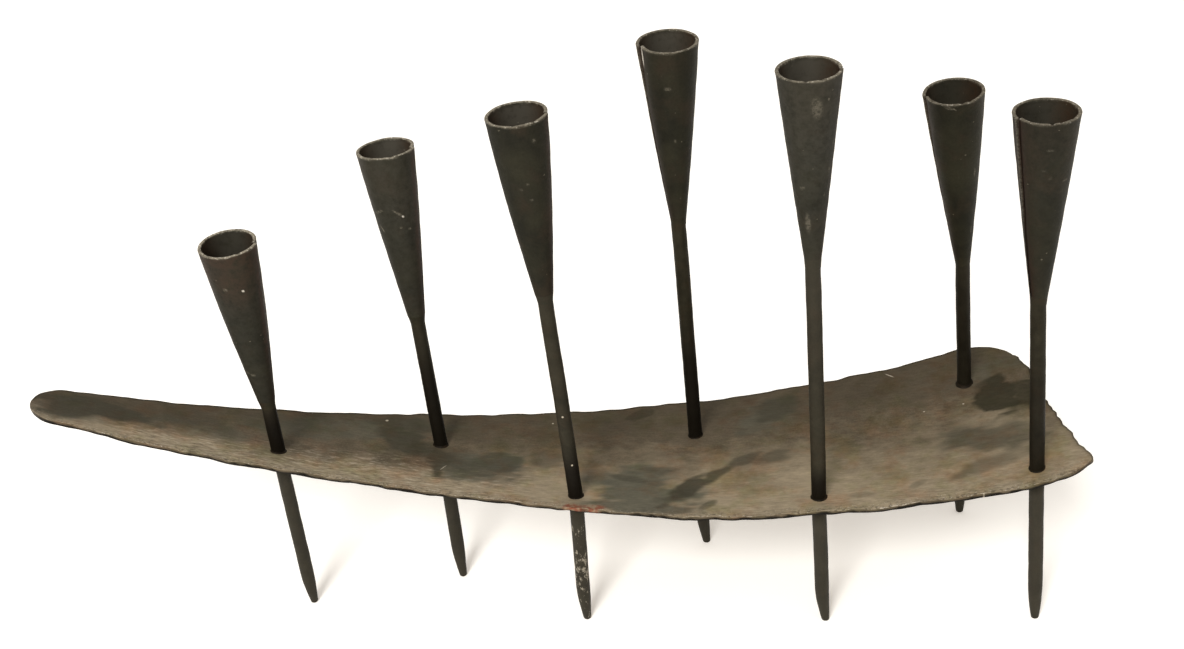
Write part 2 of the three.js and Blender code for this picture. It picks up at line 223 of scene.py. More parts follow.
end_edge = ragged(evenly(end_run, ACROSS), 22, END_BITE, END_PITCHES)
rear_edge = ragged(evenly(rear_run, ALONG)[::-1], 23, REAR_BITE, SIDE_PITCHES)[::-1]
tip_edge = ragged(evenly(tip_run, ACROSS)[::-1], 24, TIP_BITE, SIDE_PITCHES)[::-1]
front_edge[-1], rear_edge[-1] = end_edge[0], end_edge[-1]
front_edge[0], rear_edge[0] = tip_edge[0], tip_edge[-1]

# Plan of the sheet: opposite sides blended both ways, less the blend of the four corners.
u = np.linspace(0, 1, ALONG)[:, None, None]
v = np.linspace(0, 1, ACROSS)[None, :, None]
plan = ((1 - v) * front_edge[:, None] + v * rear_edge[:, None] + (1 - u) * tip_edge[None]
        + u * end_edge[None] - (1 - u) * (1 - v) * tip_edge[0] - (1 - u) * v * tip_edge[-1]
        - u * (1 - v) * end_edge[0] - u * v * end_edge[-1])
step_along = np.linalg.norm(np.gradient(plan, axis=0), axis=2)
step_across = np.linalg.norm(np.gradient(plan, axis=1), axis=2)
columns, rows = np.mgrid[0:ALONG, 0:ACROSS]
to_edge = np.minimum(np.minimum(rows, ACROSS - 1 - rows) * step_across,
                     np.minimum(columns, ALONG - 1 - columns) * step_along)


def ring_around(low_i, high_i, low_j, high_j):
    """Grid places along the border of a block of the plate's grid, anticlockwise from above."""
    i = np.concatenate([np.arange(low_i, high_i), np.full(high_j - low_j, high_i),
                        np.arange(high_i, low_i, -1), np.full(high_j - low_j, low_i)])
    j = np.concatenate([np.full(high_i - low_i, low_j), np.arange(low_j, high_j),
                        np.full(high_i - low_i, high_j), np.arange(high_j, low_j, -1)])
    return i * ACROSS + j


def drilled(sheet, hole, block):
    """The plan with one block of cells opened to the hole's circle; the cells round it ease back
    into the grid within two more blocks."""
    i, j, wide, deep = block
    out = np.maximum(np.abs(columns - i) / wide, np.abs(rows - j) / deep)
    offset = sheet - sheet[i, j]
    reach = np.maximum(np.linalg.norm(offset, axis=2), 1e-9)
    circle = hole + offset / reach[..., None] * (HOLE_RADIUS * np.maximum(out, 1))[..., None]
    keep = ease((out - 1) / 2)[..., None]
    return circle * (1 - keep) + sheet * keep


FEWEST_CELLS = 2
feet = np.column_stack([holes + foot_steps - grinds[:, None] * [1, 0], np.zeros(len(LIGHTS))])
hole_points = np.column_stack([holes, plate_top(*holes.T) - SHEET / 2])
leg_lean = (hole_points - feet)[:, 0:2] / (hole_points - feet)[:, 2:3]
blocks = []
for x, y in holes:
    away = np.hypot(plan[..., 0] - x, plan[..., 1] - y)
    i, j = np.unravel_index(away.argmin(), away.shape)
    blocks.append((i, j, max(FEWEST_CELLS, round(HOLE_RADIUS / step_along[i, j])),
                   max(FEWEST_CELLS, round(HOLE_RADIUS / step_across[i, j]))))
top_plan, low_plan = plan, plan
for hole, lean, block in zip(holes, leg_lean, blocks):
    top_plan = drilled(top_plan, hole + lean * SHEET / 2, block)
    low_plan = drilled(low_plan, hole - lean * SHEET / 2, block)

# Both long sides are beaten thin: the lip waves, the front one is turned up in small lumps, and
# burrs hang below the cut. Each dies away from the edge by e within its reach.
LIP_WAVE, LIP_REACH = 0.55, 6
LUMP_MEAN, LUMP_WAVE, LUMP_REACH = 0.4, 0.6, 2.4
BURR, BURR_REACH = 0.4, 1.5
plan_x, plan_y = plan[..., 0], plan[..., 1]
to_front = rows * step_across
lip_wave = LIP_WAVE * np.exp(-to_edge / LIP_REACH) * clouds(plan_x, plan_y, 10, 5)
lumps = LUMP_MEAN + LUMP_WAVE * clouds(plan_x, plan_y, 4.6, 6)
lumps = lumps * np.exp(-to_front / LUMP_REACH)
burrs = BURR * np.exp(-to_edge / BURR_REACH) * clouds(plan_x, plan_y, 6.5, 7)
top_z = plate_face(top_plan[..., 0], top_plan[..., 1]) + lip_wave + lumps
low_z = plate_underside(low_plan[..., 0], low_plan[..., 1]) + lip_wave + burrs
top_points = np.dstack([top_plan, top_z]).reshape(-1, 3)
low_points = np.dstack([low_plan, low_z]).reshape(-1, 3)
border = ring_around(0, ALONG - 1, 0, ACROSS - 1)
low_start = len(top_points)

# The cut edge: rows between the two faces, swollen a little where the hammer spread the sheet.
EDGE_SWELL = 0.2
down = np.array([0.12, 0.35, 0.65, 0.88])[:, None, None]
tangent = np.roll(top_points[border], -1, 0) - np.roll(top_points[border], 1, 0)
outward = np.stack([tangent[:, 1], -tangent[:, 0], 0 * tangent[:, 0]], axis=1)
outward /= np.linalg.norm(outward, axis=1)[:, None]
wall = top_points[border] * (1 - down) + low_points[border] * down
wall = wall + outward * EDGE_SWELL * np.sin(np.pi * down)
wall_rows = [border]
wall_rows += [2 * low_start + k * len(border) + np.arange(len(border)) for k in range(len(down))]
wall_rows += [border + low_start]

corner = (np.arange(ALONG - 1)[:, None] * ACROSS + np.arange(ACROSS - 1)).ravel()
solid = np.ones((ALONG - 1, ACROSS - 1), bool)
hole_walls = []
for i, j, wide, deep in blocks:
    solid[i - wide:i + wide, j - deep:j + deep] = False
    rim = ring_around(i - wide, i + wide, j - deep, j + deep)
    beside = np.roll(rim, -1)
    hole_walls.append(np.stack([rim, beside, beside + low_start, rim + low_start], axis=1))
corner = corner[solid.ravel()]
top_faces = np.stack([corner, corner + ACROSS, corner + ACROSS + 1, corner + 1], axis=1)
edge_faces = [np.stack([a, b, np.roll(b, -1), np.roll(a, -1)], axis=1)
              for a, b in zip(wall_rows, wall_rows[1:])]
plate_points = np.vstack([top_points, low_points, wall.reshape(-1, 3)])
plate_faces = np.vstack([top_faces, top_faces[:, ::-1] + low_start] + edge_faces + hole_walls)
used, plate_faces = np.unique(plate_faces, return_inverse=True)
plate_points, plate_faces = plate_points[used], plate_faces.reshape(-1, 4)
low_corner, high_corner = (np.array(corner) / MM for corner in cad_box)
plate_points = np.clip(plate_points, low_corner + BOX_MARGIN, high_corner - BOX_MARGIN)

# Stains: middle x, y, radius along and across, turn in degrees and strength. Chips in the front
# edge: x and half length.
BURNT_STAINS = [(237.5, 13, 13, 16, 0, 0.95), (251.5, 10.5, 8, 15, 0, 0.8),
                (51, 58, 9, 4, 22, 0.55)]
DARK_STAINS = [
    (226, -18, 23, 11, -16, 0.6), (209, -41.5, 11, 3, 13, 0.55), (222, -38, 20, 6, 4, 0.5),
    (182, -43.5, 6, 2.5, 30, 0.4), (155, -43, 8, 2.5, -15, 0.4), (127, 46.5, 15, 9, 32, 0.8),
    (60, -24.5, 11, 3.5, -5, 0.6), (67.5, -18, 16, 5.5, 42, 1), (85, -6.5, 14, 4, 38, 0.8),
    (100, 3, 15, 4.2, 26, 0.7), (117, 4, 11, 6, 12, 0.6), (77, -34, 6, 2.3, 39, 0.6),
    (37, -0.5, 13, 2.8, -28, 0.55), (58, 3.5, 10, 2.6, -10, 0.4), (-4, 19.5, 11, 8, 0, 0.55),
    (-61, 12, 3, 6, 0, 0.85), (-79, 41, 18, 11, -54, 1), (-80, 55, 17, 8, -12, 0.8),
    (-62, 25, 13, 8, -50, 0.75), (-40, 13, 22, 9, -12, 0.6), (-27, 19, 14, 9, 0, 0.6),
    (-150, 52.5, 18, 7, 0, 0.45), (-128, 46, 30, 7, -3, 0.15), (-195, 45, 34, 8, -4, 0.45),
    (-236, 40.5, 32, 10, -2, 0.95), (-250, 35.5, 15, 12, 0, 0.9),
]
OLIVE_STAINS = [
    (42, -12, 22, 19, -60, 1), (38, -29, 22, 7, -16, 1), (58, -35, 15, 5, -17, 0.95),
    (58, -23, 20, 10, -5, 1), (28, -1, 16, 10, -30, 0.7), (-45, 17, 20, 10, -15, 0.9),
    (-28, 18, 15, 10, 0, 1), (-45, 6.5, 19, 8, -10, 0.8), (-110, 49, 52, 11, 3, 0.6),
    (226, -17, 24, 12, -16, 0.45), (236, 35, 22, 8, 8, 0.4), (118, 39.5, 18, 12, 30, 0.6),
    (-245, 28.5, 16, 9, 0, 0.5), (-190, 36, 30, 8, -6, 0.5),
]
RUST_STAINS = [(8, -27, 4.2, 3.2, -20, 0.9), (20, -29, 5, 3, -16, 0.9),
               (13.5, -28, 6, 2.2, -14, 0.4)]
CHIPS = [(162, 6), (174, 6), (210, 2), (-20, 2.5), (98, 2)]
DRAWN_OUT, COARSE_FRAY, FINE_FRAY = 2.2, 0.3, 0.18

px, py = plate_points[:, 0], plate_points[:, 1]
on_top = (used < low_start).astype(float)


def stained(places, softness):
    """The strongest of several stains at each point of the plate: 1 inside a turned ellipse and 0
    outside, its border soft and drawn out along the sheet by noise, times its strength."""
    fray = (COARSE_FRAY * clouds(px / DRAWN_OUT, py, 4.6, 31)
            + FINE_FRAY * clouds(px / DRAWN_OUT, py, 2.1, 32))
    strongest = np.zeros(len(px))
    for middle_x, middle_y, along, across, turn, strength in places:
        c, s = math.cos(math.radians(turn)), math.sin(math.radians(turn))
        p = (px - middle_x) * c + (py - middle_y) * s
        q = (py - middle_y) * c - (px - middle_x) * s
        out = np.hypot(p / along, q / across) + fray
        strongest = np.maximum(strongest, strength * ease((1 + softness / 2 - out) / softness))
    return strongest


# Place of each point: how far down the cut edge, how far across from front to rear (0 to 1), and
# how many millimetres from the nearest edge and from the front one.
wall_depth = np.zeros(len(used))
for row, depth in zip(wall_rows, np.concatenate([[0], down.ravel(), [1]])):
    wall_depth[np.searchsorted(used, row)] = depth
front_y = np.interp(px, front_edge[:, 0], front_edge[:, 1])
rear_y = np.interp(px, rear_edge[:, 0], rear_edge[:, 1])
across = np.clip((py - front_y) / (rear_y - front_y), 0, 1)
near_edge = np.append(to_edge.ravel(), np.full(low_start + wall.size // 3, np.inf))[used]
from_front = np.maximum(py - front_y, 0)

# Masks from 0 to 1. Painted shade: the lower part of the cut edge is black, and a thin black line
# runs over the top's rim, mostly along the rear and the broad end.
outer_rim = np.maximum(ease((across - 0.3) / 0.4), ease((px - 244) / 8))
painted_rim_shade = np.exp(-near_edge ** 2) * on_top * (0.05 + 0.85 * outer_rim)
painted_edge_shade = ease((wall_depth - 0.28 - 0.26 * clouds(px, py, 3.2, 43)) / 0.3)
painted_edge_shade = np.maximum(painted_rim_shade, painted_edge_shade)

# Paler from the front as a painted sheen, further across towards the broad end, and darker from the
# rear as painted shade.
broken = 0.1 * clouds(px, py, 26, 41) + 0.07 * clouds(px, py, 9, 42)
reach = 0.56 + 0.26 * ease((px + 90) / 120) + 0.06 * ease((px - 110) / 60)
painted_front_sheen = ease((reach - across + broken) / (reach - 0.04))
painted_front_sheen = painted_front_sheen * (1 - 0.22 * ease((px - 130) / 60)) * on_top
painted_rear_shade = ease((across - 0.5 + broken) / 0.42) * on_top

# Stained, and where no stain lies, dry-brushed along the narrow half's front and near the lip.
shade = stained(DARK_STAINS, softness=0.8) * on_top
scorch = stained(BURNT_STAINS, softness=0.4) * on_top
smear = stained(OLIVE_STAINS, softness=1.0) * on_top
rust = stained(RUST_STAINS, softness=0.5) * (wall_depth < 0.7)
narrow_half = ease((0.55 - across) / 0.35) * ease((10 - px) / 60) * ease((px + 245) / 40)
brushed = np.maximum(narrow_half, 0.7 * np.exp(-from_front / 9))
brushed = brushed * (1 - shade) * (1 - smear) * on_top
# Along the front lip: pale patches and white flecks painted as highlights on its lumps, and dark
# flecks.
lip = np.exp(-from_front / 3.0) * (1 - 0.6 * smear) * on_top
chips = np.max([ease(1.3 - np.abs(px - x) / half) for x, half in CHIPS], axis=0)
chips = chips * np.isin(used, wall_rows[0]) * (across < 0.02)


def hue(code):
    """An sRGB hex colour as linear RGBA."""
    srgb = np.array([int(code[k:k + 2], 16) for k in (1, 3, 5)]) / 255
    linear = np.where(srgb <= 0.04045, srgb / 12.92, ((srgb + 0.055) / 1.055) ** 2.4)
    return (*linear, 1.0)


def link(tree, node, inputs):
    """Fills a node's inputs: each with a value, or with a link from an output socket or from the
    first live output of another node."""
    for name, value in inputs.items():
        if isinstance(value, bpy.types.Node):
            value = next(output for output in value.outputs if output.enabled)
        if isinstance(value, bpy.types.NodeSocket):
            tree.links.new(value, node.inputs[name])
        else:
            node.inputs[name].default_value = value


def add(tree, kind, settings, inputs):
    """One shader node with its settings and its inputs."""
    node = tree.nodes.new("ShaderNode" + kind)
    for name, value in settings.items():
        setattr(node, name, value)
    link(tree, node, inputs)
    return node


# Settings that several nodes share, the sockets of a colour mix, the specular level of a dull face,
# and the grain of the oxide: in truth finer than a pixel, so it is drawn about a millimetre wide.
BLEND, SCALE, TIMES = {"data_type": "RGBA"}, {"operation": "SCALE"}, {"operation": "MULTIPLY"}
LENGTH, PLACED = {"operation": "LENGTH"}, {"vector_type": "TEXTURE"}
IN_4D = {"noise_dimensions": "4D"}
SHARE, UNDER, OVER = 0, 6, 7
DULL = 0.1
GRAIN_SIZE = 10 / 9


def iron(name, shades, patch, grit, roughness, metallic):
    """Oxidised iron: clouds of a deep and a pale shade `patch` millimetres wide with islands of a
    warmer one, and a fine grain in colour, gloss and bump. Returns the material, its tree, the
    coordinates in millimetres, so that a noise's scale is 1 over its size, the colour and the
    shader."""
    deep, pale, warm = (hue(code) for code in shades)
    material = bpy.data.materials.new(name)
    material.use_nodes = True
    tree = material.node_tree
    shader = tree.nodes["Principled BSDF"]
    place = add(tree, "TexCoord", {}, {}).outputs["Object"]
    mm = add(tree, "VectorMath", SCALE, {0: place, "Scale": 1 / MM})
    cloud = add(tree, "TexNoise", {}, {"Vector": mm, "Scale": 1 / patch, "Detail": 5.0,
                                       "Roughness": 0.6, "Distortion": 0.4})
    island = add(tree, "TexNoise", IN_4D, {"Vector": mm, "W": 7.0, "Scale": 1.6 / patch,
                                           "Detail": 4.0, "Roughness": 0.65})
    grain = add(tree, "TexNoise", {}, {"Vector": mm, "Scale": 1 / GRAIN_SIZE, "Detail": 3.0,
                                       "Roughness": 0.65})
    spread = add(tree, "MapRange", {}, {"Value": cloud, "From Min": 0.36, "From Max": 0.64})
    tone = add(tree, "Mix", BLEND, {SHARE: spread, UNDER: deep, OVER: pale})
    warmth = add(tree, "MapRange", {}, {"Value": island, "From Min": 0.5, "From Max": 0.68,
                                        "To Max": 0.8})
    tone = add(tree, "Mix", BLEND, {SHARE: warmth, UNDER: tone, OVER: warm})
    speck = add(tree, "MapRange", {}, {"Value": grain, "From Min": 0.3, "From Max": 0.7,
                                       "To Min": 1 - grit, "To Max": 1 + grit})
    colour = add(tree, "VectorMath", SCALE, {0: tone, "Scale": speck})
    gloss = add(tree, "MapRange", {}, {"Value": grain, "From Min": 0.25, "From Max": 0.75,
                                       "To Min": roughness + 0.08, "To Max": roughness - 0.08})
    bump = add(tree, "Bump", {}, {"Strength": 2.7 * grit, "Distance": 0.12 * MM, "Height": grain})
    link(tree, shader, {"Metallic": metallic, "Specular IOR Level": DULL, "Roughness": gloss,
                        "Normal": bump})
    return material, tree, mm, colour, shader


def coat(tree, colour, tint, mask, pattern, low, high, least, most):
    """The colour with a tint laid over it, patchily: where the pattern rises from `low` to `high`
    the tint's share rises from `least` to `most`, times the mask."""
    amount = add(tree, "Attribute", {"attribute_name": mask}, {}).outputs["Fac"]
    patchy = add(tree, "MapRange", {}, {"Value": pattern, "From Min": low, "From Max": high,
                                        "To Min": least, "To Max": most})
    share = add(tree, "Math", TIMES, {0: patchy, 1: amount})
    return add(tree, "Mix", BLEND, {SHARE: share, UNDER: colour, OVER: hue(tint)})


def marked(tree, mm, colour, middle, turn, reach, most):
    """The colour with one small bare mark, too fine for the mesh: pale inside an ellipsoid of the
    given half sizes, turned about Z, with a soft border."""
    around = add(tree, "Mapping", PLACED, {"Vector": mm, "Location": middle, "Scale": reach,
                                           "Rotation": (0, 0, math.radians(turn))})
    away = add(tree, "VectorMath", LENGTH, {0: around})
    mark = add(tree, "MapRange", {}, {"Value": away, "From Min": 1.3, "From Max": 0.7,
                                      "To Max": most})
    return add(tree, "Mix", BLEND, {SHARE: mark, UNDER: colour, OVER: hue("#b5aa97")})


# Hammered sheet, brown: paler along the front as a painted sheen, darker at the rear as painted
# shade, with streaks and dry-brushed wear drawn along its length, burnt and oily stains, a beaten
# lip with painted highlights, a cut edge painted black as shade with a few bright chips, a trace of
# rust and a few scratches.
hammered_sheet, tree, mm, colour, shader = iron(
    "hammered_sheet", ("#534a3b", "#615646", "#5f5141"), patch=18.0, grit=0.13, roughness=0.55,
    metallic=0.3)
DRAWN = (0, 0, math.radians(-10))
DAB_SIZE, STREAK_SIZE = (7, 4, 5), (6, 1.3, 3)
DRIFT_SIZE, FLAKE_SIZE = 50 / 3, 20 / 9
mottle = add(tree, "Mapping", PLACED, {"Vector": mm, "Rotation": DRAWN, "Scale": DAB_SIZE})
mottle = add(tree, "TexNoise", {}, {"Vector": mottle, "Scale": 1.0, "Detail": 5.0,
                                    "Roughness": 0.68})
streaks = add(tree, "Mapping", PLACED, {"Vector": mm, "Rotation": DRAWN, "Scale": STREAK_SIZE})
streaks = add(tree, "TexNoise", {}, {"Vector": streaks, "Scale": 1.0, "Detail": 5.0,
                                     "Roughness": 0.65})
# The first two tints are painted light: painted shade darkening the rear and a painted sheen along
# the front. The others are stains.
for mask, tint, most, fray in (("painted_rear_shade", "#494134", 0.75, 0.5), ("painted_front_sheen", "#93856e", 0.97, 0.35),
                               ("smear", "#525145", 0.85, 0.55), ("shade", "#403c30", 0.9, 0.65),
                               ("scorch", "#322e21", 0.95, 0.8)):
    amount = add(tree, "Attribute", {"attribute_name": mask}, {}).outputs["Fac"]
    frayed = add(tree, "Math", {"operation": "MULTIPLY_ADD"}, {0: mottle, 1: fray, 2: amount})
    share = add(tree, "MapRange", {}, {"Value": frayed, "From Min": 0.5 * fray + 0.1,
                                       "From Max": 0.5 * fray + 0.9, "To Max": most})
    there = add(tree, "Math", {"operation": "GREATER_THAN"}, {0: amount, 1: 0.001})
    share = add(tree, "Math", TIMES, {0: share, 1: there})
    colour = add(tree, "Mix", BLEND, {SHARE: share, UNDER: colour, OVER: hue(tint)})
for pattern, swing in ((mottle, 0.1), (streaks, 0.12)):
    tone = add(tree, "MapRange", {}, {"Value": pattern, "From Min": 0.3, "From Max": 0.7,
                                      "To Min": 1 - swing, "To Max": 1 + swing})
    colour = add(tree, "VectorMath", SCALE, {0: colour, "Scale": tone})
for tint, low, high, most in (("#b3a793", 0.52, 0.66, 0.75), ("#5d5344", 0.46, 0.36, 0.6)):
    colour = coat(tree, colour, tint, "brushed", streaks, low, high, 0, most)
for tint, start in (("#ffefe6", 3.0), ("#eef3e4", 11.0)):
    drift = add(tree, "TexNoise", IN_4D, {"Vector": mm, "W": start, "Scale": 1 / DRIFT_SIZE,
                                          "Detail": 4.0, "Roughness": 0.65})
    drift = add(tree, "MapRange", {}, {"Value": drift, "From Min": 0.48, "From Max": 0.64})
    colour = add(tree, "Mix", {**BLEND, "blend_type": "MULTIPLY"},
                 {SHARE: drift, UNDER: colour, OVER: hue(tint)})
# On the lip, the pale patches and white flecks are painted highlights on its lumps; the dark flecks
# lie between them.
for tint, size, low, high, most in (("#a2937d", 2.4, 0.42, 0.62, 0.65),
                                    ("#3d3528", 2.0, 0.52, 0.62, 0.8),
                                    ("#dad1c3", 0.9, 0.6, 0.67, 0.9)):
    beaten = add(tree, "TexNoise", {}, {"Vector": mm, "Scale": 1 / size, "Detail": 3.0,
                                        "Roughness": 0.6})
    colour = coat(tree, colour, tint, "lip", beaten, low, high, 0, most)
flakes = add(tree, "TexNoise", {}, {"Vector": mm, "Scale": 1 / FLAKE_SIZE, "Detail": 3.0})
peel = add(tree, "MapRange", {}, {"Value": flakes, "From Min": 0.44, "From Max": 0.62})
rusty = add(tree, "Mix", BLEND, {SHARE: peel, UNDER: hue("#7f4a37"), OVER: hue("#8c7760")})
# The black laid on the cut edge and along the rim is painted shade; then the rust.
for mask, tint in (("painted_edge_shade", hue("#0f0c07")), ("rust", rusty)):
    amount = add(tree, "Attribute", {"attribute_name": mask}, {}).outputs["Fac"]
    colour = add(tree, "Mix", BLEND, {SHARE: amount, UNDER: colour, OVER: tint})
colour = coat(tree, colour, "#c9bfae", "chips", flakes, 0.5, 0.56, 0, 1)

# Scratches and specks: middle x, y, half length, half width and turn.
THROUGH = 1e6
SCRATCHES = [
    (189.9, 54.1, 2.9, 0.35, -53), (-89.8, 60, 0.8, 0.8, 0), (1.4, 55.7, 0.5, 0.5, 0),
    (220.6, 14.5, 0.5, 0.5, 0), (200, 16.1, 0.5, 0.4, 0), (168, -56.8, 1.5, 0.4, -7),
    (173.5, -57.5, 0.8, 0.4, -7), (182, -58.5, 1.2, 0.4, -7), (210.6, -62.1, 0.6, 0.5, 0),
    (-58, 14.1, 2.6, 0.2, 55), (143, 7.6, 2.4, 0.25, 12),
]
for x, y, length, width, turn in SCRATCHES:
    colour = marked(tree, mm, colour, (x, y, 0), turn, (length, width, THROUGH), 0.8)
link(tree, shader, {"Base Color": colour})

SHARPEST = math.radians(38)


def piece(name, points, faces, finish, node, masks):
    """Puts points (millimetres) and faces into a mesh at the origin, smooth but for its sharp
    arrises, with one float attribute for each mask, and gives it its finish and its place in the
    frame."""
    mesh = bpy.data.meshes.new(name)
    mesh.from_pydata((points * MM).tolist(), [], faces)
    mesh.shade_smooth()
    mesh.set_sharp_from_angle(angle=SHARPEST)
    for mask, values in masks.items():
        attribute = mesh.attributes.new(mask, "FLOAT", "POINT")
        attribute.data.foreach_set("value", np.ascontiguousarray(values, np.float32))
    mesh.materials.append(finish)
    shown = bpy.data.objects.new(name, mesh)
    bpy.context.scene.collection.objects.link(shown)
    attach(shown, "root")
    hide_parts(node)


piece("hammered_plate", plate_points, plate_faces.tolist(), hammered_sheet, "plate",
      {"painted_front_sheen": painted_front_sheen, "painted_rear_shade": painted_rear_shade, "smear": smear, "shade": shade, "scorch": scorch,
       "rust": rust, "lip": lip, "brushed": brushed, "chips": chips, "painted_edge_shade": painted_edge_shade})


# BARS
# Seven lengths of round bar, 7.4 mm over their scale, each leg, stem and cup seat in one. They lean
# through the plate, bend a little there and again below the cup, and are ground to a blunt foot at
# the floor.

BAR_RADIUS = 3.7
FOOT_RADIUS, FOOT_TAPER, FOOT_EDGE = 2.0, 24.0, 0.7
CUP_LENGTH, SOCKET_DEPTH, BRAZE_LENGTH, GAP = 93.0, 15.0, 5.0, 0.3
SIDES, RING_STEP = 32, 2.0
ROUNDING = np.array([0, 0.06, 0.2, 0.42])
WAVER, WAVER_PITCH, SEAT_CUT = 0.14, 37, 0.2
UNEVEN, UNEVEN_SIZE, STRETCH, DINT, DINT_SIZE = 0.04, 3.1, 0.35, 0.11, 9

cup_lean = mouth_steps - neck_steps
cup_rise = np.sqrt(CUP_LENGTH ** 2 - (cup_lean ** 2).sum(1))
mouths = np.column_stack([holes + mouth_steps, mouth_heights])
necks = np.column_stack([holes + neck_steps, mouth_heights - cup_rise])
cup_axes = (mouths - necks) / CUP_LENGTH
bends = necks - (BRAZE_LENGTH + 2 * GAP) * cup_axes
bar_ends = necks + SOCKET_DEPTH * cup_axes


def rings(centres, axes, radii):
    """Circles of points: round each centre, square to its axis, with one radius for each point.
    The first point lies towards +X."""
    axes = axes / np.linalg.norm(axes, axis=1)[:, None]
    first = np.array([1.0, 0, 0]) - axes * axes[:, :1]
    first /= np.linalg.norm(first, axis=1)[:, None]
    second = np.cross(axes, first)
    angle = np.linspace(0, 2 * np.pi, radii.shape[1], endpoint=False)[None, :, None]
    around = np.cos(angle) * first[:, None] + np.sin(angle) * second[:, None]
    return centres[:, None] + radii[..., None] * around


def tube_faces(count, sides):
    """Quads of a row of rings, and a cap on each end."""
    k, j = np.mgrid[0:count - 1, 0:sides]
    a, b = k * sides + j, k * sides + (j + 1) % sides
    quads = np.stack([a, b, b + sides, a + sides], axis=-1).reshape(-1, 4).tolist()
    last = (count - 1) * sides
    return quads + [list(range(sides - 1, -1, -1)), list(range(last, last + sides))]


# Black bar with mill scale: greenish black, greyer on the legs, darker down to the plate, and
# rubbed to pale flecks where the mask says that the scale has come off. Two bright specks sit on
# the third bar (x, z).
SPECKS = [(9.5, 136.6), (11, 106.5)]
SPECK_RADIUS = 0.5
SCALE_FLAKE = (2, 2, 25 / 7)
WORN_GREY = "#46423a"
scaled_bar, tree, mm, colour, shader = iron(
    "scaled_bar", ("#1d1a10", "#2d291e", "#2b2317"), patch=14.0, grit=0.08, roughness=0.6,
    metallic=0.25)
for mask, tint in (("worn", WORN_GREY), ("dark_to_plate", "#0d0905")):
    amount = add(tree, "Attribute", {"attribute_name": mask}, {}).outputs["Fac"]
    colour = add(tree, "Mix", BLEND, {SHARE: amount, UNDER: colour, OVER: hue(tint)})
flaked = add(tree, "Attribute", {"attribute_name": "flaked"}, {}).outputs["Fac"]
flakes = add(tree, "Mapping", PLACED, {"Vector": mm, "Scale": SCALE_FLAKE})
flakes = add(tree, "TexNoise", {}, {"Vector": flakes, "Scale": 1.0, "Detail": 4.0,
                                    "Roughness": 0.7})
bare = add(tree, "Math", {"operation": "ADD"}, {0: flakes, 1: flaked})
bare = add(tree, "MapRange", {}, {"Value": bare, "From Min": 0.76, "From Max": 0.84})
colour = add(tree, "Mix", BLEND, {SHARE: bare, UNDER: colour, OVER: hue("#8f8778")})
for x, z in SPECKS:
    colour = marked(tree, mm, colour, (x, 0, z), 0, (SPECK_RADIUS, THROUGH, SPECK_RADIUS), 0.9)
link(tree, shader, {"Base Color": colour})

# For each bar: how far the scale is off the leg; how dark it grows down to the plate and how far up
# that reaches; and how worn the stem is below the cup and above the plate.
FLAKED = [0.02, 0.0, 0.24, 0.0, 0.05, 0.0, 0.02]
DARK_TO_PLATE = [0.95, 0.85, 0.9, 0.85, 0.9, 0.55, 0.6]
DARK_REACH = [40, 88, 40, 95, 26, 125, 90]
WORN_ABOVE = [0.0, 0.04, 0.16, 0.0, 0.3, 0.0, 0.04]
WORN_BELOW = [0.0, 0.0, 0.16, 0.0, 0.06, 0.0, 0.0]
LEG_WORN = 0.33


